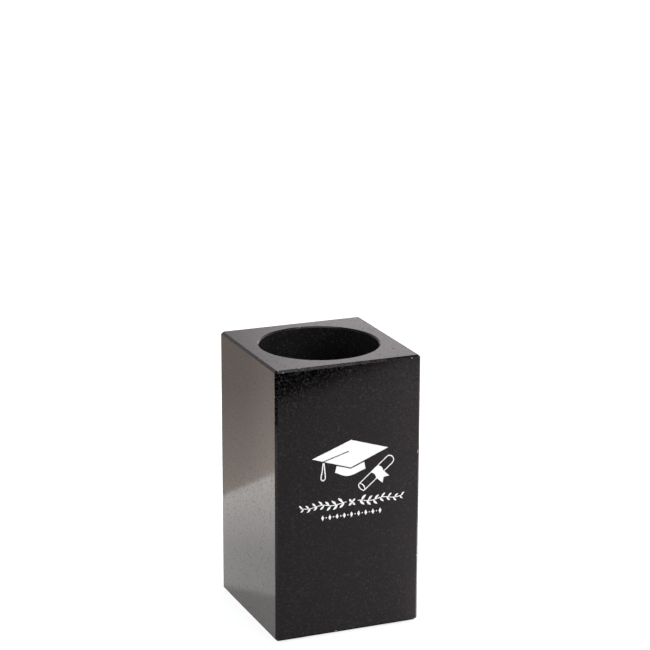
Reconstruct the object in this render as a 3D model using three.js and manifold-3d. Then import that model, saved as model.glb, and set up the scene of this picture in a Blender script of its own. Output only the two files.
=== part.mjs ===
// A desk cup for pens: a square block of black marble, core-drilled from the top, on four felt pads.
// Millimetres, +Z up. The origin is on the desk under the middle of the block, and the decorated
// face looks along -Y.

import * as THREE from "three";
import { mergeVertices } from "three/addons/utils/BufferGeometryUtils.js";
import Module from "manifold-3d";

const wasm = await Module();
wasm.setup();

// The block
const blockSide = 55; // square in plan
const blockHeight = 100; // of the stone alone
const edgeChamfer = 0.8; // taken off both faces along every outer edge

// The bore
const thinnestWall = 6; // stone left between the bore and the middle of each side
const floorThickness = 12; // stone left under the bore
const rimChamfer = 0.5; // the eased mouth
const floorRadius = 1.5; // the corner that a worn core bit leaves at the foot of the wall
const boreSides = 96;
const floorRadiusSteps = 6;
const cutterRise = 5; // how far the cutting form stands above the block, so that it cuts clean through

// The felt pads
const padDiameter = 10;
const padThickness = 1;
const padSetback = 5; // from the block's sides to a pad's edge
const padSides = 48;

const boreRadius = blockSide / 2 - thinnestWall;
const padCentre = blockSide / 2 - padSetback - padDiameter / 2;

const blackMarble = new THREE.MeshStandardMaterial({ color: "#2a2628", roughness: 0.22, metalness: 0 });
const blackFelt = new THREE.MeshStandardMaterial({ color: "#1b1b1c", roughness: 0.95, metalness: 0 });

// The plan of the block: a square whose corners are cut back by the chamfer, anticlockwise from the front.
function blockPlan() {
  const reach = blockSide / 2;
  const cut = reach - edgeChamfer;
  const plan = new THREE.Shape();
  plan.moveTo(-cut, -reach);
  plan.lineTo(cut, -reach);
  plan.lineTo(reach, -cut);
  plan.lineTo(reach, cut);
  plan.lineTo(cut, reach);
  plan.lineTo(-cut, reach);
  plan.lineTo(-reach, cut);
  plan.lineTo(-reach, -cut);
  plan.closePath();
  return plan;
}

// The sawn and ground block before drilling, standing on z = 0. The bevel draws both ends in
// from the full plan, which chamfers the top and bottom edges.
function blankBlock() {
  const blank = new THREE.ExtrudeGeometry(blockPlan(), {
    depth: blockHeight - 2 * edgeChamfer,
    steps: 1,
    bevelEnabled: true,
    bevelThickness: edgeChamfer,
    bevelSize: edgeChamfer,
    bevelOffset: -edgeChamfer,
    bevelSegments: 1,
  });
  return blank.translate(0, 0, edgeChamfer);
}

// What the drill takes out: a flat foot with a rounded corner, a straight wall and the flare of
// the eased mouth, turned about the block's axis.
function boreCutter() {
  const profile = [new THREE.Vector2(0, floorThickness)];
  const corner = new THREE.Path();
  corner.absarc(boreRadius - floorRadius, floorThickness + floorRadius, floorRadius, -Math.PI / 2, 0, false);
  profile.push(...corner.getPoints(floorRadiusSteps));
  profile.push(new THREE.Vector2(boreRadius, blockHeight - rimChamfer));
  profile.push(new THREE.Vector2(boreRadius + rimChamfer + cutterRise, blockHeight + cutterRise));
  profile.push(new THREE.Vector2(0, blockHeight + cutterRise));
  return new THREE.LatheGeometry(profile, boreSides).rotateX(Math.PI / 2);
}

// A closed three.js geometry as a solid that can be cut.
function solidFrom(geometry) {
  const bare = geometry.clone();
  bare.deleteAttribute("normal");
  bare.deleteAttribute("uv");
  const joined = mergeVertices(bare);
  const corners = joined.index.array;
  const kept = [];
  for (let i = 0; i < corners.length; i += 3) {
    const [a, b, c] = corners.slice(i, i + 3);
    const collapsed = a === b || b === c || c === a; // where a turned profile meets its axis
    if (!collapsed) {
      kept.push(a, b, c);
    }
  }
  return new wasm.Manifold(
    new wasm.Mesh({
      numProp: 3,
      vertProperties: joined.attributes.position.array,
      triVerts: new Uint32Array(kept),
    }),
  );
}

// A solid as a three.js geometry with flat facets.
function geometryFrom(solid) {
  const { vertProperties, triVerts } = solid.getMesh();
  const shared = new THREE.BufferGeometry();
  shared.setAttribute("position", new THREE.BufferAttribute(vertProperties, 3));
  shared.setIndex(new THREE.BufferAttribute(triVerts, 1));
  const faceted = shared.toNonIndexed();
  faceted.computeVertexNormals();
  return faceted;
}

// The stone, standing on its pads.
function stoneBlock() {
  const drilled = solidFrom(blankBlock()).subtract(solidFrom(boreCutter()));
  const stone = new THREE.Mesh(geometryFrom(drilled), blackMarble);
  stone.name = "stone_block";
  stone.position.z = padThickness;
  return stone;
}

// A round self-adhesive felt pad, stuck under one corner of the block and standing on the desk.
function feltPad(name, x, y) {
  const disc = new THREE.CylinderGeometry(padDiameter / 2, padDiameter / 2, padThickness, padSides);
  const pad = new THREE.Mesh(disc.rotateX(Math.PI / 2), blackFelt);
  pad.name = name;
  pad.position.set(x, y, padThickness / 2);
  return pad;
}

const penCup = new THREE.Group();
penCup.add(stoneBlock());
for (const [end, y] of [["front", -padCentre], ["back", padCentre]]) {
  for (const [side, x] of [["left", -padCentre], ["right", padCentre]]) {
    penCup.add(feltPad(`felt_pad_${end}_${side}`, x, y));
  }
}

export default penCup;
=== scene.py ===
# The looks of a pen cup drilled from one block of polished black marble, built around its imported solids.
# Lengths are written in millimetres and become metres when they go into a mesh.
import math

import bpy
import numpy as np
from mathutils import Matrix, Vector


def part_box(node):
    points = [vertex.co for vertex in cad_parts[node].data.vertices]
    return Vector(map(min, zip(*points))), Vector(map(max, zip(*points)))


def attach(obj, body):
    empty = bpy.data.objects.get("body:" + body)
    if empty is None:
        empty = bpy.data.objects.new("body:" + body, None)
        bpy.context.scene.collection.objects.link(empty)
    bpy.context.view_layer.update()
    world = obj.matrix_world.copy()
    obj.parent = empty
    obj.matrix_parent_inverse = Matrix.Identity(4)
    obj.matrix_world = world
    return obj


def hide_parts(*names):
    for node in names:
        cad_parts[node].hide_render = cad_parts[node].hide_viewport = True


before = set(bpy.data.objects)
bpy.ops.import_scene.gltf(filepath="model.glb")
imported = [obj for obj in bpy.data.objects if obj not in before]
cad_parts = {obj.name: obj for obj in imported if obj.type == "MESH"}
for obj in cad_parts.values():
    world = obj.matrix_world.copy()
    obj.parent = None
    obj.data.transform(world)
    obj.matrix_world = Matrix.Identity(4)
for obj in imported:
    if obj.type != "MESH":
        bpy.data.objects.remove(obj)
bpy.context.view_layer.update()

mm = 0.001
stoneLow, stoneHigh = (np.array(corner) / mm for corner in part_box("stone_block"))
halfSide = (stoneHigh[0] - stoneLow[0]) / 2
faceY = stoneLow[1]  # the decorated face
print("frame loaded, block", np.round(stoneHigh - stoneLow, 3), "mm")


# Nodes

# Adds one node to a tree, sets its options, and fills its sockets with values or links.
def addNode(tree, kind, sockets=None, **options):
    node = tree.nodes.new("ShaderNode" + kind)
    for name, value in options.items():
        setattr(node, name, value)
    for key, value in (sockets or {}).items():
        if isinstance(value, bpy.types.NodeSocket):
            tree.links.new(value, node.inputs[key])
        else:
            node.inputs[key].default_value = value
    return node


# Noise whose blotches are about size millimetres across, on the piece's own Object coordinates.
def noiseAt(tree, place, size, detail=3.0, rough=0.55, warp=0.0):
    sockets = {"Vector": place, "Scale": 1 / (size * mm), "Detail": detail, "Roughness": rough}
    return addNode(tree, "TexNoise", {**sockets, "Distortion": warp}).outputs["Fac"]


def maths(tree, operation, first, second=0.0, third=0.0):
    return addNode(tree, "Math", {0: first, 1: second, 2: third}, operation=operation).outputs[0]


# Straight ramp from the span (low, high) to the span (start, end), clamped.
def ramp(tree, value, low, high, start=0.0, end=1.0):
    sockets = {"Value": value, "From Min": low, "From Max": high, "To Min": start, "To Max": end}
    return addNode(tree, "MapRange", sockets).outputs["Result"]


def mixColours(tree, share, first, second, blend="MIX"):
    sockets = {0: share, 6: first, 7: second}
    return addNode(tree, "Mix", sockets, data_type="RGBA", blend_type=blend).outputs[2]


def newMaterial(name):
    material = bpy.data.materials.new(name)
    material.use_nodes = True
    return material, material.node_tree, material.node_tree.nodes["Principled BSDF"]


# The marble. Every finish shares one body of stone, so clouds and seams run on from a face to its chamfer.
marble = dict(
    dark=(0.0, 0.0, 0.0),
    pale=(0.017, 0.0152, 0.0157),
    fleck=(0.10, 0.094, 0.094),
    seam=(0.016, 0.015, 0.015),
    dust=(0.62, 0.61, 0.61),  # stone crushed by tools
    index=1.6,
    straightOn=(0.325, 0.294, 0.312),  # share of the mirror that is left when looked at squarely
    crystalSize=0.48,
    palest=7.0,  # the higher, the fewer crystals are pale
    fleckShare=0.004,
    dullest=7.0,  # the higher, the fewer crystals took the polish badly
    cloudSize=13,
    grainSize=0.5,
    seamSize=34,
)

# stray is how far the roughness strays with the grain, dull how much rougher the dullest crystal is, relief
# the height of the fine bumps in millimetres, lift how many times paler the finish is than the polish,
# crushed the share of stone dust in its colour, and shine how much of the stone's gloss it has, 0.5 being all
finishes = {
    "polishedMarble": dict(
        roughness=0.08, stray=0.03, dull=0.38, relief=0.0019, lift=1.0, crushed=0.0, shine=0.5,
    ),
    "groundMarble": dict(
        roughness=0.09, stray=0.04, dull=0.35, relief=0.0015, lift=1.2, crushed=0.0, shine=0.5,
    ),
    "boredMarble": dict(
        roughness=0.55, stray=0.12, dull=0.20, relief=0.02, lift=1.0, crushed=0.008, shine=0.15,
    ),
    "honedMarble": dict(
        roughness=0.46, stray=0.10, dull=0.25, relief=0.03, lift=1.9, crushed=0.003, shine=0.5,
    ),
    "brokenMarble": dict(
        roughness=0.66, stray=0.15, dull=0.20, relief=0.06, lift=4.0, crushed=0.6, shine=0.5,
    ),
}


# One finish of the marble: crystals, mostly dark, under soft clouds, a few pale flecks and hairline seams.
def marbleMaterial(name, finish):
    material, tree, shader = newMaterial(name)
    place = addNode(tree, "TexCoord").outputs["Object"]
    cloud = noiseAt(tree, place, marble["cloudSize"], 4.0, 0.6, 0.4)
    grain = noiseAt(tree, place, marble["grainSize"], 4.0, 0.7)

    # every crystal has random numbers of its own, and their high powers make most crystals dark and smooth
    crystal = addNode(tree, "TexVoronoi", {"Vector": place, "Scale": 1 / (marble["crystalSize"] * mm)})
    tickets = addNode(tree, "SeparateColor", {0: crystal.outputs["Color"]}).outputs
    paleness = maths(tree, "POWER", tickets[0], marble["palest"])
    paleness = maths(tree, "MULTIPLY", paleness, ramp(tree, cloud, 0.3, 0.7, 0.6, 1.4))
    base = mixColours(tree, paleness, (*marble["dark"], 1), (*marble["pale"], 1))
    chosen = ramp(tree, tickets[1], 1 - marble["fleckShare"], 1.0)
    bright = maths(tree, "MULTIPLY", chosen, ramp(tree, crystal.outputs["Distance"], 0.45, 0.15))
    base = mixColours(tree, bright, base, (*marble["fleck"], 1))

    # a seam runs where a warped noise passes through its middle value, and fades in and out with the clouds
    bend = noiseAt(tree, place, marble["seamSize"], 3.0, 0.5, 0.8)
    offMiddle = maths(tree, "ABSOLUTE", maths(tree, "SUBTRACT", bend, 0.5))
    seam = maths(tree, "MULTIPLY", ramp(tree, offMiddle, 0.0035, 0.0), ramp(tree, cloud, 0.5, 0.68, 0.0, 0.5))
    base = mixColours(tree, seam, base, (*marble["seam"], 1))
    base = mixColours(tree, 1.0, base, (finish["lift"],) * 3 + (1,), "MULTIPLY")
    base = mixColours(tree, finish["crushed"], base, (*marble["dust"], 1))

    uneven = maths(tree, "SUBTRACT", maths(tree, "ADD", grain, cloud), 1.0)
    rough = maths(tree, "MULTIPLY_ADD", uneven, finish["stray"], finish["roughness"])
    dulled = maths(tree, "POWER", tickets[2], marble["dullest"])
    rough = maths(tree, "MULTIPLY_ADD", dulled, finish["dull"], rough)

    height = maths(tree, "MULTIPLY_ADD", grain, 0.3, noiseAt(tree, place, 2.4, 2.0))
    bump = addNode(tree, "Bump", {"Height": height, "Strength": 1.0, "Distance": finish["relief"] * mm})

    tree.links.new(base, shader.inputs["Base Color"])
    tree.links.new(rough, shader.inputs["Roughness"])
    tree.links.new(bump.outputs[0], shader.inputs["Normal"])
    shader.inputs["IOR"].default_value = marble["index"]
    shader.inputs["Specular IOR Level"].default_value = finish["shine"]
    shader.inputs["Specular Tint"].default_value = (*marble["straightOn"], 1)
    return material


marbleFinishes = [marbleMaterial(name, finish) for name, finish in finishes.items()]
finishIndex = {name: i for i, name in enumerate(finishes)}
print("marble finishes:", ", ".join(finishes))


# Meshes

def linked(name, mesh, materials):
    piece = bpy.data.objects.new(name, mesh)
    bpy.context.collection.objects.link(piece)
    for material in materials:
        mesh.materials.append(material)
    return piece


# Smooth shading that breaks where two faces meet at more than the angle.
def shadeSmooth(mesh, angle=30):
    mesh.shade_smooth()
    mesh.set_sharp_from_angle(angle=math.radians(angle))


# Closed skins from rings of points. rings is an array of skins by rows by columns, each ring anticlockwise
# and closed on itself, and each skin has a pole at either end. The faces run from the first pole to the last.
def closedSkins(rings, firstPoles, lastPoles):
    skins, rows, columns = rings.shape[:3]
    index = np.arange(rows * columns).reshape(rows, columns)
    onward = np.roll(index, -1, axis=1)
    start = np.full(columns, rows * columns)
    strips = np.stack([index[:-1], onward[:-1], onward[1:], index[1:]], axis=-1).reshape(-1, 4)
    startFan = np.stack([start, onward[0], index[0]], axis=-1)
    endFan = np.stack([index[-1], onward[-1], start + 1], axis=-1)
    vertices = np.concatenate([rings.reshape(skins, -1, 3), firstPoles[:, None], lastPoles[:, None]], axis=1)
    faces = []
    for skin in range(skins):
        for group in (startFan, strips, endFan):
            faces += (group + skin * (rows * columns + 2)).tolist()
    return vertices.reshape(-1, 3), faces


# One piece out of several sets of vertices and faces.
def builtPiece(name, parts, materials):
    vertices, faces = [], []
    for places, polygons in parts:
        first = sum(len(earlier) for earlier in vertices)
        vertices.append(places)
        faces += [[first + corner for corner in polygon] for polygon in polygons]
    mesh = bpy.data.meshes.new(name)
    mesh.from_pydata(np.vstack(vertices) * mm, [], faces)
    return linked(name, mesh, materials)


# A piece of one skin. band holds a material index for each of its faces.
def closedSkin(name, rings, firstPole, lastPole, materials, band):
    skin = closedSkins(rings[None], np.array([firstPole]), np.array([lastPole]))
    piece = builtPiece(name, [skin], materials)
    piece.data.polygons.foreach_set("material_index", band.ravel().astype(np.int32))
    return piece


# Cuts, joins or trims one piece with another by a live boolean, keeps its result, and throws the tool away.
def carve(piece, tool, operation="DIFFERENCE"):
    step = piece.modifiers.new("carve", "BOOLEAN")
    step.object, step.operation, step.solver = tool, operation, "MANIFOLD"
    shaped = piece.evaluated_get(bpy.context.evaluated_depsgraph_get())
    result = bpy.data.meshes.new_from_object(shaped)
    piece.modifiers.clear()
    piece.data = result
    bpy.data.objects.remove(tool)


# The block
block = dict(
    chamfer=0.8,  # ground off every outer edge, as on the solids
    chamferStray=0.06,  # how far hand grinding strays from that
    arris=0.09,  # radius that polishing leaves on each arris
    boreRadius=21.5,
    rimEase=0.5,
    rimStray=0.05,
    floorHeight=12.0,  # stone under the bore
    footRadius=1.5,  # at the foot of the wall
    ringDepth=0.035,  # of the rings that the core bit leaves
    ringWaves=((0.55, 1.19, 1.0), (0.45, 2.63, 0.4)),  # share, radians a millimetre and start of each wave
    ringClimb=0.3,  # how far the rings wander up and down in a turn
    guard=0.08,  # width of the strip beside an arris that takes up its rounding
    sideColumns=86,
    sideRows=24,
    wallRows=92,
    bendSteps=3,
    undersideRings=(3.0, 9.0, 15.0, 20.0, 22.0),
    floorRings=(0.9, 0.65, 0.4, 0.15),  # shares of the floor's radius
    seed=11,
)


# Places from 0 to 1, even but for one close to each end.
def guarded(steps, edge):
    return np.concatenate([[0.0], np.linspace(edge, 1 - edge, steps - 1), [1.0]])


# A smooth stray between -1 and 1 that closes after one turn: sines of falling weight and seeded phase.
def stray(turn, seed, waves=(3, 7, 17, 39)):
    phases = np.random.default_rng(seed).uniform(0, 2 * np.pi, len(waves))
    weights = 1 / np.sqrt(np.arange(1, len(waves) + 1))
    total = sum(w * np.sin(2 * np.pi * k * turn + p) for k, w, p in zip(waves, weights, phases))
    return total / weights.sum()


# The columns of the plan, anticlockwise, a quarter at a time. along goes from -1 to 1 over a side, across
# from 0 to 1 over the cut corner at its end, and look is the way that the rounded arris faces.
def planColumns(s):
    side = 2 * guarded(s["sideColumns"], s["guard"] / (2 * halfSide)) - 1
    bend = np.linspace(0, np.pi / 4, s["bendSteps"] + 1)[1:-1]
    cut = guarded(4, s["guard"] / s["chamfer"])
    none, whole = bend * 0, bend * 0 + 1
    along = np.concatenate([side, whole, cut * 0 + 1, whole])
    across = np.concatenate([side * 0, none, cut, whole])
    look = np.concatenate([side * 0, bend, cut * 0 + np.pi / 4, bend + np.pi / 4]) - np.pi / 2
    plan = dict(along=np.tile(along, 4), across=np.tile(across, 4), look=np.tile(look, 4))
    plan["quarter"] = np.repeat(np.arange(4), len(along))
    plan["turn"] = np.arange(4 * len(along)) / (4 * len(along))
    return plan


# A square of half side h with its corners cut back by c and each arris rounded to radius r. On the front,
# x = along (h - c) + across c and y = -h + across c for the plan inside the rounding, which adds r along
# the look, and the quarter turns it round the axis.
def planPoints(plan, h, c, r):
    inner, leg = h - r, c - (2 - math.sqrt(2)) * r
    x = plan["along"] * (inner - leg) + plan["across"] * leg + r * np.cos(plan["look"])
    y = plan["across"] * leg - inner + r * np.sin(plan["look"])
    turn = plan["quarter"] * np.pi / 2
    return x * np.cos(turn) - y * np.sin(turn), x * np.sin(turn) + y * np.cos(turn)


# A chamfer with both arrises rounded, from the wall to the level face, as the way in from the wall and the
# drop from the face: an arc through 45 degrees, a straight slope, and an arc through 45 degrees.
def easedEdge(s, cut):
    r, reach = s["arris"], math.tan(math.pi / 8)
    tilt = np.linspace(0, np.pi / 4, s["bendSteps"] + 1)[:, None]
    lowIn, lowDrop = r - r * np.cos(tilt), cut + reach * r - r * np.sin(tilt)
    tilt = tilt + np.pi / 4
    highIn, highDrop = cut + reach * r - r * np.cos(tilt), r - r * np.sin(tilt)
    share = guarded(4, s["guard"] / s["chamfer"])[1:-1, None]
    slopeIn = lowIn[-1] + (highIn[0] - lowIn[-1]) * share
    slopeDrop = lowDrop[-1] + (highDrop[0] - lowDrop[-1]) * share
    return np.vstack([lowIn + cut * 0, slopeIn, highIn]), np.vstack([lowDrop, slopeDrop, highDrop + cut * 0])


# The block as one path from the middle of its underside, over the bottom chamfer, up the sides, over the
# top chamfer, across the top, and down the bore to the middle of its floor. Each row of the path is the
# plan set in from the sides, or a circle, or a blend from one to the other where a level face joins them.
def marbleBlock(s):
    plan = planColumns(s)
    low, high = stoneLow[2], stoneHigh[2]
    edge = s["guard"] / (high - low)
    topIn, topDrop = easedEdge(s, s["chamfer"] + s["chamferStray"] * stray(plan["turn"], s["seed"]))
    lowIn, lowRise = easedEdge(s, s["chamfer"] + s["chamferStray"] * stray(plan["turn"], s["seed"] + 1))
    rimIn, rimDrop = easedEdge(s, s["rimEase"] + s["rimStray"] * stray(plan["turn"], s["seed"] + 2))
    groups = []

    def addRows(look, height, inset=0.0, radius=0.0, roundness=0.0):
        values = np.broadcast_arrays(height, inset, radius, roundness, plan["turn"][None] * 0)
        groups.append((look, np.stack(values[:4])))

    *innerRings, lastRing = s["undersideRings"]
    addRows("honedMarble", low, radius=np.array(innerRings)[:, None], roundness=1.0)
    addRows("honedMarble", low, lowIn[-1], lastRing, 1 - guarded(5, 0.01)[:-1, None])
    addRows("groundMarble", low + lowRise[::-1], lowIn[::-1])
    foot, head = low + lowRise[0], high - topDrop[0]
    addRows("polishedMarble", foot + (head - foot) * guarded(s["sideRows"], edge)[1:-1, None])
    addRows("groundMarble", high - topDrop, topIn)
    mouth = s["boreRadius"] + rimIn[-1]
    addRows("polishedMarble", high, topIn[-1], mouth, guarded(7, 0.012)[1:-1, None])
    addRows("groundMarble", high - rimDrop[::-1], radius=s["boreRadius"] + rimIn[::-1], roundness=1.0)

    # the wall carries the bit's rings, which wander with the turn and fade out at both ends
    head, foot = high - rimDrop[0], low + s["floorHeight"] + s["footRadius"]
    share = guarded(s["wallRows"], edge)[1:, None]
    height = head + (foot - head) * share
    climb = height + s["ringClimb"] * np.sin(2 * np.pi * plan["turn"])
    rings = sum(part * np.sin(pitch * climb + start) for part, pitch, start in s["ringWaves"])
    fade = np.clip(np.minimum(share, 1 - share) * 30, 0, 1)
    addRows("boredMarble", height, radius=s["boreRadius"] + s["ringDepth"] * rings * fade, roundness=1.0)
    around = np.linspace(0, np.pi / 2, 8)[1:, None]
    inner, floor = s["boreRadius"] - s["footRadius"], low + s["floorHeight"]
    sweep = inner + s["footRadius"] * np.cos(around)
    addRows("boredMarble", foot - s["footRadius"] * np.sin(around), radius=sweep, roundness=1.0)
    addRows("boredMarble", floor, radius=inner * np.array(s["floorRings"])[:, None], roundness=1.0)

    height, inset, radius, roundness = np.concatenate([rows for _, rows in groups], axis=1)
    corner = s["chamfer"] + s["chamferStray"] * stray(height / 100 + plan["quarter"] * 0.37, s["seed"] + 3)
    x, y = planPoints(plan, halfSide - inset, corner - (2 - math.sqrt(2)) * inset, s["arris"])
    aheadX, aheadY = planPoints(plan, halfSide, s["chamfer"], s["arris"])
    angle = np.arctan2(aheadY, aheadX)
    x = x + (radius * np.cos(angle) - x) * roundness
    y = y + (radius * np.sin(angle) - y) * roundness

    # the strip above a row has its finish, but the last row of a ground edge starts the next face
    looks = ["honedMarble"]
    for (look, rows), following in zip(groups, groups[1:] + groups[-1:]):
        count = rows.shape[1]
        looks += [look] * (count - 1) + [following[0] if look == "groundMarble" else look]
    rowLow = [low, *height.min(axis=1)]
    upright = [look == "polishedMarble" and bottom < high - 2 for look, bottom in zip(looks, rowLow)]
    band = np.repeat([[finishIndex[look]] for look in looks], len(plan["turn"]), axis=1)
    inCorner = np.maximum(plan["look"], np.roll(plan["look"], -1)) > -np.pi / 2
    band[np.outer(upright, inCorner)] = finishIndex["groundMarble"]
    rings = np.stack([x, y, height], axis=-1)
    return closedSkin("marbleBlock", rings, (0, 0, low), (0, 0, floor), marbleFinishes, band)


stone = marbleBlock(block)
print("block skin:", len(stone.data.polygons), "faces")


# Chips. Each is a shallow scoop left by a pebble that only grazes an arris.
chips = dict(
    seen=((-26.4, "upper"), (-24.6, "lower"), (-18.1, "upper"), (23.9, "lower")),  # on the top front edge
    seenDepth=0.08,
    sides=4,  # on the lower or upper arris of each of the other top edges
    foot=4,
    uprights=3,
    rim=6,
    radius=(0.35, 0.75),
    depth=(0.02, 0.065),
    stretch=(1.0, 1.7),
    lumps=(0.10, 0.07),  # how far a pebble's radius strays in its two patterns
    pebbleRows=10,
    pebbleColumns=18,
    seed=5,
)


# A pebble, stretched along one direction: a sphere whose radius strays with the angle round it and up it.
def pebble(s, centre, radius, direction, stretch, phase):
    up = np.linspace(-np.pi / 2, np.pi / 2, s["pebbleRows"] + 2)[1:-1, None]
    turn = np.linspace(0, 2 * np.pi, s["pebbleColumns"], endpoint=False)[None]
    across, slanted = s["lumps"]
    lumps = 1 + across * np.sin(3 * turn + phase) * np.cos(up)
    lumps = lumps + slanted * np.sin(2 * up + 5 * turn + 2 * phase)
    ball = np.stack([np.cos(up) * np.cos(turn), np.cos(up) * np.sin(turn), np.sin(up) + turn * 0], axis=-1)
    along = np.array(direction)
    poles = np.array([[0, 0, -1.0], [0, 0, 1.0]])
    stretched = [p + (p @ along)[..., None] * along * (stretch - 1) for p in (ball * lumps[..., None], poles)]
    rings, ends = (np.array(centre) + radius * p for p in stretched)
    faces = (rings.shape[0] + 1) * rings.shape[1]
    return closedSkin("pebble", rings, *ends, marbleFinishes, np.full(faces, finishIndex["brokenMarble"]))


# Knocks the chips out, one pebble after another. Each spot is a point of an arris, the way the arris looks
# outward, and the way it runs.
def knockChips(stone, s):
    dice = np.random.default_rng(s["seed"])
    low, high, cut = stoneLow[2], stoneHigh[2], block["chamfer"]
    shallow, steep = math.sin(math.pi / 8), math.cos(math.pi / 8)
    up = np.array([0, 0, 1.0])
    spots = []
    for quarter in range(4):
        turn = quarter * math.pi / 2
        run = np.array([math.cos(turn), math.sin(turn), 0])
        out = np.array([math.sin(turn), -math.cos(turn), 0])
        side, shoulder = out * halfSide, out * (halfSide - cut)
        places = dice.uniform(-0.95, 0.95, s["sides"]) * halfSide
        topEdge = [(place, dice.choice(["upper", "lower"])) for place in places]
        for place, arris in s["seen"] if quarter == 0 else topEdge:
            if arris == "lower":
                spots.append((run * place + side + up * (high - cut), out * steep + up * shallow, run))
            else:
                spots.append((run * place + shoulder + up * high, out * shallow + up * steep, run))
        for place in dice.uniform(-0.95, 0.95, s["foot"]) * halfSide:
            spots.append((run * place + side + up * (low + cut), out * steep - up * shallow, run))
        for place in low + dice.uniform(0.03, 0.97, s["uprights"]) * (high - low):
            corner = run * (halfSide - cut) + side
            spots.append((corner + up * place, out * steep + run * shallow, up))
    for turn in dice.uniform(0, 2 * math.pi, s["rim"]):
        out = np.array([math.cos(turn), math.sin(turn), 0])
        mouth = out * (block["boreRadius"] + block["rimEase"])
        spots.append((mouth + up * high, up * steep - out * shallow, np.cross(up, out)))
    for number, (spot, facing, along) in enumerate(spots):
        radius, depth, stretch = (dice.uniform(*s[key]) for key in ("radius", "depth", "stretch"))
        if number < len(s["seen"]):
            depth = s["seenDepth"]
        carve(stone, pebble(s, spot + facing * (radius - depth), radius, along, stretch, dice.uniform(0, 6)))
    print("chips:", len(spots))


knockChips(stone, chips)


# Flat shapes for the front. Each is a grid of (x, z) points on the face, in millimetres.

# A smooth curve through the points: between two of them a cubic whose slope at each is half the step
# between its neighbours.
def curveThrough(points, steps=8):
    p = np.array(points, dtype=float)
    p = np.vstack([2 * p[0] - p[1], p, 2 * p[-1] - p[-2]])
    a, b, c, d = p[:-3, None], p[1:-2, None], p[2:-1, None], p[3:, None]
    t = np.linspace(0, 1, steps, endpoint=False)[None, :, None]
    curve = b + 0.5 * t * (c - a + t * (2 * a - 5 * b + 4 * c - d + t * (3 * (b - c) + d - a)))
    return np.vstack([curve.reshape(-1, 2), p[-2]])


# Everything between two curves of as many points: straight lines from one to the other.
def between(first, second, steps=2):
    share = np.linspace(0, 1, steps)[None, :, None]
    first, second = np.array(first, dtype=float)[:, None], np.array(second, dtype=float)[:, None]
    return first + (second - first) * share


# A line of even width with round ends: points along the path, pushed to either side by half the width,
# which closes over the last half width as the root of one less the square of the way still to go.
def stroke(path, width, steps=24):
    path, half = np.array(path, dtype=float), width / 2
    along = np.concatenate([[0], np.cumsum(np.hypot(*np.diff(path, axis=0).T))])
    end = half * (1 - np.cos(np.linspace(0.15, np.pi / 2, 6)))
    places = np.concatenate([end, np.linspace(half, along[-1] - half, steps)[1:-1], along[-1] - end[::-1]])
    middle = np.stack([np.interp(places, along, path[:, k]) for k in (0, 1)], axis=1)
    slope = np.gradient(middle, places, axis=0)
    sideways = np.stack([-slope[:, 1], slope[:, 0]], axis=1) / np.hypot(*slope.T)[:, None]
    left = np.clip(1 - np.minimum(places, along[-1] - places) / half, 0, 1)
    reach = (half * np.sqrt(1 - left**2))[:, None] * sideways
    return between(middle - reach, middle + reach)


# A closed line of even width round an ellipse, turned by an angle.
def ovalLine(centre, longHalf, shortHalf, angle, width, steps=40):
    turn = np.linspace(0, 2 * np.pi, steps, endpoint=False)
    spin = np.array([[math.cos(angle), -math.sin(angle)], [math.sin(angle), math.cos(angle)]])

    def oval(change):
        plain = np.stack([(longHalf + change) * np.cos(turn), (shortHalf + change) * np.sin(turn)], axis=1)
        return plain @ spin.T + np.array(centre)

    return between(oval(-width / 2), oval(width / 2))


# A leaf: its half width at share u of its length is the sine of pi u to the power 0.8, with a small bend.
def leaf(base, angle, length, width, bow=0.0):
    u = np.linspace(0.02, 0.98, 12)
    ahead = np.array([math.cos(angle), math.sin(angle)])
    aside = np.array([-ahead[1], ahead[0]])
    spine = np.array(base) + length * u[:, None] * ahead + bow * np.sin(np.pi * u)[:, None] * aside
    reach = width / 2 * np.sin(np.pi * u)[:, None] ** 0.8 * aside
    return between(spine - reach, spine + reach)


# A flat shape given thickness: its grid at the front and again at the back, with walls all round.
def slab(name, grid, front, back, closed=False, materials=()):
    edges = grid[1:, :-1] - grid[:-1, :-1], grid[:-1, 1:] - grid[:-1, :-1]
    if (edges[0][..., 0] * edges[1][..., 1] - edges[0][..., 1] * edges[1][..., 0]).sum() < 0:
        grid = grid[:, ::-1]
    rows, columns = grid.shape[:2]
    flat = grid.reshape(-1, 2)
    vertices = np.vstack([np.insert(flat, 1, y, axis=1) for y in (front, back)]) * mm
    near = np.arange(rows * columns).reshape(rows, columns)
    if closed:
        near = np.vstack([near, near[:1]])
    far = near + rows * columns
    faces = [
        (near[:-1, :-1], near[1:, :-1], near[1:, 1:], near[:-1, 1:]),
        (far[:-1, 1:], far[1:, 1:], far[1:, :-1], far[:-1, :-1]),
        (near[1:, 0], near[:-1, 0], far[:-1, 0], far[1:, 0]),
        (near[:-1, -1], near[1:, -1], far[1:, -1], far[:-1, -1]),
    ]
    if not closed:
        faces.append((near[0, :-1], near[0, 1:], far[0, 1:], far[0, :-1]))
        faces.append((near[-1, 1:], near[-1, :-1], far[-1, :-1], far[-1, 1:]))
    quads = np.vstack([np.stack(face, axis=-1).reshape(-1, 4) for face in faces])
    mesh = bpy.data.meshes.new(name)
    mesh.from_pydata(vertices, [], quads.tolist())
    return linked(name, mesh, materials)


# The white paint, laid in an engraving: depth is how deep the stone is cut and below how far the paint
# stops short of the face.
engraving = dict(depth=0.3, below=0.06, clear=0.5)
whitePaint = dict(
    clot=0.25, patch=2.2, relief=0.02, roughness=(0.5, 0.66),
    soiled=(0.87, 0.867, 0.86), clean=(0.92, 0.919, 0.914),
)


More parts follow.
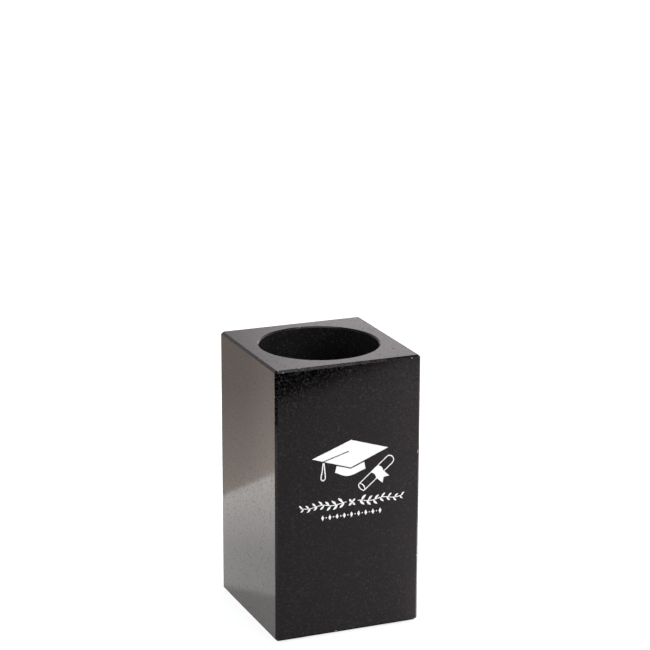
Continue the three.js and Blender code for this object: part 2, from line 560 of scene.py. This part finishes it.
def paintMaterial(s):
    material, tree, shader = newMaterial("whiteInlay")
    place = addNode(tree, "TexCoord").outputs["Object"]
    clots = noiseAt(tree, place, s["clot"], 4.0, 0.65)
    patches = noiseAt(tree, place, s["patch"], 3.0)
    shade = ramp(tree, maths(tree, "ADD", clots, patches), 0.75, 1.2)
    base = mixColours(tree, shade, (*s["soiled"], 1), (*s["clean"], 1))
    bump = addNode(tree, "Bump", {"Height": clots, "Strength": 0.7, "Distance": s["relief"] * mm})
    tree.links.new(base, shader.inputs["Base Color"])
    tree.links.new(ramp(tree, patches, 0.3, 0.7, *s["roughness"]), shader.inputs["Roughness"])
    tree.links.new(bump.outputs[0], shader.inputs["Normal"])
    return material


whiteInlay = paintMaterial(whitePaint)


# Joins flat shapes into one solid of paint. A shape that is a pair is closed on itself.
def paintSolid(name, shapes):
    front, back = faceY + engraving["below"], faceY + engraving["depth"]
    parts = []
    for shape in shapes:
        grid, closed = shape if isinstance(shape, tuple) else (shape, False)
        parts.append(slab(name, grid, front, back, closed, [whiteInlay]))
    whole = parts[0]
    for part in parts[1:]:
        carve(whole, part, "UNION")
    whole.name = name
    return whole


# Cuts the paint's own outline into the stone, from in front of the face to the foot of the paint.
def engrave(stone, paint):
    stamp = bpy.data.objects.new("stamp", paint.data.copy())
    bpy.context.collection.objects.link(stamp)
    places = np.empty(3 * len(stamp.data.vertices), dtype=np.float32)
    stamp.data.vertices.foreach_get("co", places)
    depth = places.reshape(-1, 3)[:, 1]
    halfway = faceY + (engraving["below"] + engraving["depth"]) / 2
    depth[depth < halfway * mm] = (faceY - engraving["clear"]) * mm
    stamp.data.vertices.foreach_set("co", places)
    stamp.data.materials.clear()
    for material in marbleFinishes:
        stamp.data.materials.append(material)
    broken = np.full(len(stamp.data.polygons), finishIndex["brokenMarble"])
    stamp.data.polygons.foreach_set("material_index", broken)
    carve(stone, stamp)


# The cap: a flat square board seen from above one corner, the band under it, and a tassel on a cord.
cap = dict(
    left=(-13.9, 67.5), top=(0.9, 72.9), right=(15.2, 68.4), bottom=(0.8, 62.7),
    button=(0.1, 68.8), cordEnd=(-9.6, 66.1), cordWidth=0.34,
    bandTop=((-4.55, 63.95), (0.8, 62.25), (6.0, 64.2)),
    bandFoot=((-5.2, 61.5), (0.0, 59.7), (6.5, 61.6)),
    tassel=((-9.65, 65.7), (-10.0, 62.8), (-10.45, 60.0), (-9.7, 59.15),
            (-8.85, 60.0), (-9.05, 62.8), (-9.3, 65.6)),
    lineWidth=0.44,
)


def capShapes(s):
    board = between((s["left"], s["top"]), (s["bottom"], s["right"]), 3)
    bandTop = np.vstack([np.linspace(s["bandTop"][k], s["bandTop"][k + 1], 9)[k:] for k in (0, 1)])
    bandFoot = curveThrough(s["bandFoot"], 8)
    return board, between(bandTop, bandFoot, 3), stroke(curveThrough(s["tassel"]), s["lineWidth"], 60)


board, band, tassel = capShapes(cap)
capInlay = paintSolid("capInlay", [board])
cord = stroke((cap["button"], cap["cordEnd"]), cap["cordWidth"], 4)
carve(capInlay, slab("cord", cord, faceY - 1, faceY + 1, materials=[whiteInlay]))
bandInlay = paintSolid("bandInlay", [band])
tasselInlay = paintSolid("tasselInlay", [tassel])


# The scroll: a rolled sheet drawn in line, with a ribbon round its middle and two pointed tails.
scroll = dict(
    near=(5.1, 54.9), far=(15.8, 63.8), half=1.65, mouthHalf=0.78, farBulge=1.4, lineWidth=0.39,
    ribbon=(0.40, 0.66), ribbonBow=0.8,
    tips=((13.1, 55.4), (15.7, 57.8)), notch=(13.5, 57.5), root=((10.5, 57.7), (13.4, 60.0)),
)


def scrollShapes(s):
    near, far = np.array(s["near"]), np.array(s["far"])
    ahead = (far - near) / np.hypot(*(far - near))
    aside = np.array([-ahead[1], ahead[0]])
    half, width = s["half"], s["lineWidth"]
    angle = math.atan2(aside[1], aside[0])
    bend = np.linspace(-np.pi / 2, np.pi / 2, 13)[:, None]
    farEnd = far + s["farBulge"] * np.cos(bend) * ahead + half * np.sin(bend) * aside
    outline = np.vstack([near - half * aside, farEnd, near + half * aside])
    shapes = [stroke(outline, width, 60)]
    shapes.append((ovalLine(near, half, s["mouthHalf"], angle, width), True))
    across = np.linspace(-1, 1, 9)[:, None]
    first, last = (near + (far - near) * share for share in s["ribbon"])
    bow = s["ribbonBow"] * (1 - across**2) * ahead
    cover = half + width / 2
    shapes.append(between(first + cover * across * aside + bow, last + cover * across * aside + bow, 3))
    middle = np.mean(s["root"], axis=0)
    for start, tip in zip(s["root"], s["tips"]):
        shapes.append(between((start, tip), (middle, s["notch"]), 3))
    return shapes


scrollInlay = paintSolid("scrollInlay", scrollShapes(scroll))


# Below the figures, a leafy sprig and under it a row of beads and lozenges.
sprig = dict(
    middle=(1.4, 49.75), gap=2.1, half=19.6, wave=0.35, waveLength=9.4, stem=0.3,
    leaves=7, firstLeaf=3.2, bareTip=0.9, leafLength=(2.7, 1.7), leafWidth=(0.9, 0.62), lean=0.78,
    stagger=0.3, bow=0.12, petal=(1.75, 0.8),
)


def sprigShapes(s):
    x0, z0 = s["middle"]
    shapes = []

    def stemHeight(x):
        return s["wave"] * np.sin(2 * np.pi * x / s["waveLength"])

    for side in (-1, 1):
        run = np.linspace(s["gap"], s["half"], 60)
        shapes.append(stroke(np.stack([x0 + side * run, z0 + stemHeight(run)], axis=1), s["stem"], 50))
        for k, x in enumerate(np.linspace(s["firstLeaf"], s["half"] - s["bareTip"], s["leaves"])):
            share = k / (s["leaves"] - 1)
            length, width = (np.interp(share, (0, 1), s[key]) for key in ("leafLength", "leafWidth"))
            for up in (-1, 1):
                angle = up * s["lean"] if side > 0 else math.pi - up * s["lean"]
                reach = x + s["stagger"] * up
                base = (x0 + side * reach, z0 + stemHeight(reach))
                shapes.append(leaf(base, angle, length, width, s["bow"] * up * side))
    for k in range(4):
        shapes.append(leaf(s["middle"], (k + 0.5) * math.pi / 2, *s["petal"]))
    return shapes


beads = dict(middle=(1.2, 45.2), spacing=2.75, count=9, lozenge=(1.15, 2.2), bead=0.28)


def beadShapes(s):
    x0, z0 = s["middle"]
    wide, high = (size / 2 for size in s["lozenge"])
    shapes = []
    for k in range(s["count"]):
        x = x0 + (k - (s["count"] - 1) / 2) * s["spacing"]
        shapes.append(between(((x - wide, z0), (x, z0 + high)), ((x, z0 - high), (x + wide, z0))))
        if k:
            dot = np.array([x - s["spacing"] / 2, z0])
            shapes.append(leaf(dot - [s["bead"], 0], 0.0, 2 * s["bead"], 2 * s["bead"]))
    return shapes


sprigInlay = paintSolid("sprigInlay", sprigShapes(sprig))
beadInlay = paintSolid("beadInlay", beadShapes(beads))
inlays = [capInlay, bandInlay, tasselInlay, scrollInlay, sprigInlay, beadInlay]
for inlay in inlays:
    engrave(stone, inlay)
    shadeSmooth(inlay.data)
shadeSmooth(stone.data)
print("engraved and painted:", ", ".join(inlay.name for inlay in inlays))


# Felt pads: a pressed disc with a soft edge, and loose fibres round it.
felt = dict(
    edge=0.22, fuzz=0.05, fuzzWaves=(5, 11, 17, 29, 37), columns=96, seed=3,
    discRings=(0.25, 0.5, 0.75, 0.9), woolSize=0.16, mattedSize=1.4, relief=0.08, sheen=0.35,
    fibres=260, fibreLength=(0.3, 0.9), fibreReach=(0.04, 0.26), fibreRadius=0.014, fibreSteps=7,
    dark=(0.008, 0.008, 0.009), pale=(0.030, 0.030, 0.032),
)


def feltMaterial(s):
    material, tree, shader = newMaterial("blackFelt")
    place = addNode(tree, "TexCoord").outputs["Object"]
    wool = noiseAt(tree, place, s["woolSize"], 5.0, 0.75, 1.2)
    matted = noiseAt(tree, place, s["mattedSize"], 3.0)
    tuft = ramp(tree, maths(tree, "ADD", wool, matted), 0.7, 1.35)
    base = mixColours(tree, tuft, (*s["dark"], 1), (*s["pale"], 1))
    bump = addNode(tree, "Bump", {"Height": wool, "Strength": 1.0, "Distance": s["relief"] * mm})
    tree.links.new(base, shader.inputs["Base Color"])
    tree.links.new(ramp(tree, wool, 0.3, 0.7, 0.86, 1.0), shader.inputs["Roughness"])
    tree.links.new(bump.outputs[0], shader.inputs["Normal"])
    shader.inputs["Sheen Weight"].default_value = s["sheen"]
    shader.inputs["Sheen Roughness"].default_value = 0.6
    return material


# Loose fibres round a disc. Each runs along the side for its length while it stands off by its reach times a
# half sine, drifts up or down a little, and thins out toward both ends as the root of a half sine.
def feltFibres(centre, radius, low, high, s, dice):
    count = (s["fibres"], 1)
    share = np.linspace(0, 1, s["fibreSteps"])[None]
    turn = dice.uniform(0, 2 * np.pi, count) + share * dice.uniform(*s["fibreLength"], count) / radius
    off = radius - 0.06 + (dice.uniform(*s["fibreReach"], count) + 0.06) * np.sin(np.pi * share) ** 0.8
    height = low + (high - low) * (dice.uniform(0.2, 0.8, count) + share * dice.uniform(-0.15, 0.15, count))
    path = np.stack([centre[0] + off * np.cos(turn), centre[1] + off * np.sin(turn), height], axis=-1)
    along = np.gradient(path, axis=1)
    along = along / np.linalg.norm(along, axis=-1, keepdims=True)
    first = np.cross(np.array([0, 0, 1.0]), along)
    first = first / np.linalg.norm(first, axis=-1, keepdims=True)
    second = np.cross(along, first)
    around = np.linspace(0, 2 * np.pi, 3, endpoint=False)[:, None]
    thick = (s["fibreRadius"] * np.sqrt(np.sin(np.pi * share[:, 1:-1])))[..., None, None]
    spokes = np.cos(around) * first[:, 1:-1, None] + np.sin(around) * second[:, 1:-1, None]
    return closedSkins(path[:, 1:-1, None] + thick * spokes, path[:, 0], path[:, -1])


# The disc's rings run from the middle of its underside round a quarter circle, up the side and back over
# the top. The side's radius strays with the turn and the height.
def feltPad(name, node, s, material, seed):
    low, high = (np.array(corner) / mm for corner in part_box(node))
    centre, radius = (low + high) / 2, (high[0] - low[0]) / 2
    dice = np.random.default_rng(seed)
    turn = np.linspace(0, 2 * np.pi, s["columns"], endpoint=False)[None]
    bend = np.linspace(0, np.pi / 2, 5)[:, None]
    edge = s["edge"]
    disc = np.array(s["discRings"])[:, None] * radius
    sine, cosine, thick = edge * np.sin(bend), edge * np.cos(bend), high[2] - low[2]
    reach = np.vstack([disc, radius - edge + sine, radius - edge + cosine, disc[::-1]])
    rise = np.vstack([disc * 0, edge - cosine, thick - edge + sine, disc * 0 + thick])
    waves = s["fuzzWaves"]
    phases = dice.uniform(0, 2 * np.pi, len(waves))
    fluff = sum(np.sin(k * turn + 3 * rise + p) for k, p in zip(waves, phases)) / len(waves)
    reach = reach + s["fuzz"] * (fluff - 1) * np.clip((reach - disc[-1]) / (radius - disc[-1]), 0, 1)
    across, deep = centre[0] + reach * np.cos(turn), centre[1] + reach * np.sin(turn)
    rings = np.stack([across, deep, low[2] + rise + turn * 0], axis=-1)
    disc = closedSkins(rings[None], np.array([[*centre[:2], low[2]]]), np.array([[*centre[:2], high[2]]]))
    pad = builtPiece(name, [disc, feltFibres(centre, radius, low[2], high[2], s, dice)], [material])
    shadeSmooth(pad.data, 60)
    return pad


blackFelt = feltMaterial(felt)
pads = []
for k, (end, side) in enumerate([("front", "left"), ("front", "right"), ("back", "left"), ("back", "right")]):
    node = f"felt_pad_{end}_{side}"
    pad = feltPad(f"feltPad{end.title()}{side.title()}", node, felt, blackFelt, felt["seed"] + k)
    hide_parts(node)
    pads.append(pad)
print("felt pads:", len(pads))

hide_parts("stone_block")
for piece in [stone, *inlays, *pads]:
    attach(piece, "root")


# The camera stands where the photograph's perspective puts it: azimuth and elevation of the view and its roll
# in degrees, the distance to the origin, and how far the view is moved aside and up in its own plane.
viewpoint = dict(
    azimuth=-22.483, elevation=15.673, roll=-0.125, distance=0.86449, aside=0.00211, up=0.10358, lens=129.91,
)


def placeCamera(s):
    azimuth, elevation, roll = (math.radians(s[key]) for key in ("azimuth", "elevation", "roll"))
    level = math.cos(elevation)
    back = Vector((math.sin(azimuth) * level, -math.cos(azimuth) * level, math.sin(elevation)))
    right = Vector((math.cos(azimuth), math.sin(azimuth), 0))
    up = back.cross(right)
    place = back * s["distance"] + right * s["aside"] + up * s["up"]
    rolledRight = right * math.cos(roll) - up * math.sin(roll)
    rolledUp = right * math.sin(roll) + up * math.cos(roll)
    data = bpy.data.cameras.new("view")
    data.lens, data.sensor_width = s["lens"], 36
    data.clip_start, data.clip_end = 0.05, 20
    camera = bpy.data.objects.new("view", data)
    pose = Matrix([rolledRight, rolledUp, back]).transposed().to_4x4()
    pose.translation = place
    camera.matrix_world = pose
    bpy.context.collection.objects.link(camera)
    bpy.context.scene.camera = camera


placeCamera(viewpoint)


# The stage: a pale table top that is white to the camera, shows white in gloss and still takes the cup's
# shadow, with a painted contact shadow close round it.
# Gloss also sees painted reflections: patches of painted light on the table, a glowing card beyond its far
# edge, a near-black card before its near edge, and the wall behind it.
flankEdge = dict(towards=(0.934, 0.359, 0), span=(-0.0245, -0.0335))  # the painted light on the table changes across this line
stage = dict(
    size=4.0,
    paint=0.70,
    white=(0.97, 0.66),  # what it glows for the camera where its paint carries the painted contact shadow and where it is lit
    covered=dict(within=0.003, dark=(0.42, 0.60), dim=(0.0, 0.15)),  # by how open it is to the sky, which sets the painted contact shadow and the painted shade in the gap
    farther=dict(span=(0.35, 1.4), glow=(0.0, 0.42)),  # by the distance from the cup
    mirrored=0.34,  # what it glows for gloss, to which the patches of painted light on the table add theirs
    patches=(
        dict(towards=(-0.8, 0.6, 0), span=(0.041, 0.046), glow=(0.0, 0.40)),
        dict(towards=(-0.8, 0.6, 0), span=(0.080, 0.155), glow=(0.0, 0.95)),
        dict(towards=(0.92, 0.39, 0), span=(-0.040, 0.002), glow=(0.0, 0.36)),
        dict(towards=(0.92, 0.39, 0), span=(0.002, 0.018), glow=(0.0, 0.55)),
    ),
    crossed=(  # each painted patch of light here glows only where the one beside it does
        (dict(**flankEdge, glow=(0.0, 0.11)),
         dict(towards=(-0.8, 0.6, 0), span=(0.0, 0.02), glow=(0.0, 1.0))),
        (dict(towards=(0.908, 0.42, 0), span=(0.008, 0.0135), glow=(0.0, 0.7)),
         dict(towards=(0, 1, 0), span=(-0.13, -0.05), glow=(0.0, 1.0))),
    ),
    tint=(1.0, 0.945, 0.90),
)
# A glowing card beyond the table's far edge that only gloss sees: a painted reflection, dimmer farther out
# and brighter toward one flank.
paintedBrightCard = dict(
    across=(0.511, 0.860), span=(0.0755, 2.0), fade=0.165, strength=(1.12, 0.68), tint=(1.0, 0.86, 0.77),
    flank=dict(**flankEdge, glow=(0.0, 0.34)),
)
# A near-black card before the table's near edge that only gloss sees: a painted dark reflection in the
# polished faces.
paintedDarkCard = dict(
    across=(0.478, 0.878), span=(-2.0, -0.2195), fade=0.0, strength=(0.01, 0.01), tint=(1.0, 1.0, 1.0),
)
wall = dict(
    towards=(0.924, -0.382, 0), span=(-0.045, -0.005), strength=(0.65, 1.31), tint=(1.0, 0.945, 0.955),
    height=(0.42, 0.66), ceiling=0.40,  # overhead the room is dimmer
    fill=0.35,  # soft light from all round on what isn't gloss
)


# Whether a ray comes from the camera, and whether it comes by way of gloss or glass.
def raySwitches(tree):
    path = addNode(tree, "LightPath").outputs
    return path["Is Camera Ray"], maths(tree, "MAXIMUM", path["Is Glossy Ray"], path["Is Transmission Ray"])


# How far the shaded point, or for the world the ray, lies toward a direction.
def measured(tree, direction):
    place = addNode(tree, "TexCoord").outputs["Object"]
    return addNode(tree, "VectorMath", {0: place, 1: direction}, operation="DOT_PRODUCT").outputs["Value"]


def emptyTree(holder):
    holder.use_nodes = True
    holder.node_tree.nodes.clear()
    return holder.node_tree


def flatSheet(name, corners, height, material):
    mesh = bpy.data.meshes.new(name)
    mesh.from_pydata([(x, y, height) for x, y in corners], [], [tuple(range(len(corners)))])
    sheet = linked(name, mesh, [material])
    return sheet


# How much a patch of painted light on the table glows at the shaded point.
def patch(tree, s):
    return ramp(tree, measured(tree, s["towards"]), *s["span"], *s["glow"])


# The table top. Close round the cup and under it an ambient occlusion ramp darkens the paint, a painted
# contact shadow, and darkens what gloss sees there, a painted shade in the reflection, while the camera sees
# it white right up to the cup and dim only in the gap below, a painted shade under the block.
def floorMaterial(s):
    material = bpy.data.materials.new("paleFloor")
    tree = emptyTree(material)
    camera, gloss = raySwitches(tree)
    covered = s["covered"]
    openness = addNode(tree, "AmbientOcclusion", {"Distance": covered["within"]}, samples=16).outputs["AO"]
    # Both ramps of openness paint shade: the first darkens the paint and the gloss glow close round the cup,
    # the second dims the camera's glow in the gap under the block.
    paintedShadeFactor, clear = ramp(tree, openness, *covered["dark"]), ramp(tree, openness, *covered["dim"])

    mirrored = s["mirrored"]
    # The patches add painted pools of light to what gloss sees of the table, a painted reflection in the
    # polished faces.
    for settings in s["patches"]:
        mirrored = maths(tree, "ADD", patch(tree, settings), mirrored)
    for settings, where in s["crossed"]:
        mirrored = maths(tree, "MULTIPLY_ADD", patch(tree, settings), patch(tree, where), mirrored)
    place = addNode(tree, "TexCoord").outputs["Object"]
    away = addNode(tree, "VectorMath", {0: place}, operation="LENGTH").outputs["Value"]
    whiter = maths(tree, "MULTIPLY", camera, ramp(tree, away, *s["farther"]["span"], *s["farther"]["glow"]))
    mirrored = maths(tree, "MULTIPLY", maths(tree, "MULTIPLY", gloss, mirrored), paintedShadeFactor)
    white = maths(tree, "MULTIPLY", camera, ramp(tree, openness, *covered["dark"], *s["white"]))
    strength = maths(tree, "MULTIPLY_ADD", white, clear, mirrored)
    strength = maths(tree, "ADD", strength, whiter)
    colour = mixColours(tree, gloss, (1, 1, 1, 1), (*s["tint"], 1))
    glow = addNode(tree, "Emission", {"Color": colour, "Strength": strength})
    # The paint with the painted contact shadow in it.
    shade = mixColours(tree, paintedShadeFactor, (0, 0, 0, 1), (s["paint"],) * 3 + (1,))
    matt = addNode(tree, "BsdfDiffuse", {"Color": shade})
    both = addNode(tree, "AddShader", {0: glow.outputs[0], 1: matt.outputs[0]})
    addNode(tree, "OutputMaterial", {"Surface": both.outputs[0]})
    return material


# A card on the floor that only gloss can see, a painted reflection that glows though it is no lamp. It starts
# at one edge of the table top, and its glow fades along across, from the table's edge outward, and may change
# toward one flank.
def mirrorCard(name, s):
    material = bpy.data.materials.new(name)
    tree = emptyTree(material)
    ahead, right = np.array(s["across"]), np.array([s["across"][1], -s["across"][0]])
    strength = ramp(tree, measured(tree, (*s["across"], 0)), s["span"][0], s["fade"], *s["strength"])
    if "flank" in s:
        strength = maths(tree, "ADD", strength, patch(tree, s["flank"]))
    glow = addNode(tree, "Emission", {"Color": (*s["tint"], 1), "Strength": strength})
    addNode(tree, "OutputMaterial", {"Surface": glow.outputs[0]})
    near, far = (distance * ahead for distance in s["span"])
    wide = stage["size"] / 2 * right
    card = flatSheet(name, [near - wide, near + wide, far + wide, far - wide], 0.0002, material)
    card.visible_camera = card.visible_diffuse = card.visible_shadow = card.visible_transmission = False


half = stage["size"] / 2
flatSheet("floor", [(-half, -half), (half, -half), (half, half), (-half, half)], 0.0, floorMaterial(stage))
mirrorCard("paintedBrightReflection", paintedBrightCard)
mirrorCard("paintedDarkReflection", paintedDarkCard)


# The world is white to the camera, a pale wall to gloss, dimmer on one side, and otherwise a soft fill.
def lightWorld(s):
    world = bpy.data.worlds.new("studio")
    bpy.context.scene.world = world
    tree = emptyTree(world)
    camera, gloss = raySwitches(tree)
    fill = addNode(tree, "Background", {"Color": (1, 1, 1, 1), "Strength": s["fill"]})
    white = addNode(tree, "Background", {"Color": (1, 1, 1, 1), "Strength": 1.0})
    strength = ramp(tree, measured(tree, s["towards"]), *s["span"], *s["strength"])
    overhead = ramp(tree, measured(tree, (0, 0, 1)), *s["height"], 1.0, s["ceiling"])
    strength = maths(tree, "MULTIPLY", strength, overhead)
    pale = addNode(tree, "Background", {"Color": (*s["tint"], 1), "Strength": strength})
    seen = addNode(tree, "MixShader", {0: gloss, 1: fill.outputs[0], 2: pale.outputs[0]})
    seen = addNode(tree, "MixShader", {0: camera, 1: seen.outputs[0], 2: white.outputs[0]})
    addNode(tree, "OutputWorld", {"Surface": seen.outputs[0]})


lightWorld(wall)

# Soft boxes, in metres and watts: over the cup, in front on the right, and low on the left
lamps = dict(
    over=dict(place=(0.007, -0.10, 0.75), aim=(0, 0, 0.05), size=0.52, power=2.0, tint=(0.86, 0.93, 1.0)),
    front=dict(place=(0.75, -1.05, 0.75), aim=(0, 0, 0.05), size=0.7, power=15.5, tint=(1, 1, 1)),
    left=dict(place=(-1.1, 0.1, 0.6), aim=(0, 0, 0.05), size=0.7, power=4.0, tint=(1, 1, 1)),
)


def addLamp(name, s):
    data = bpy.data.lights.new(name, "AREA")
    data.shape, data.size, data.energy, data.color = "SQUARE", s["size"], s["power"], s["tint"]
    lamp = bpy.data.objects.new(name, data)
    lamp.location = s["place"]
    lamp.rotation_mode = "QUATERNION"
    lamp.rotation_quaternion = (Vector(s["place"]) - Vector(s["aim"])).to_track_quat("Z", "Y")
    bpy.context.collection.objects.link(lamp)


for name, settings in lamps.items():
    addLamp(name, settings)
bpy.context.scene.view_settings.view_transform = "Standard"
print("stage, camera and", len(lamps), "lamps")
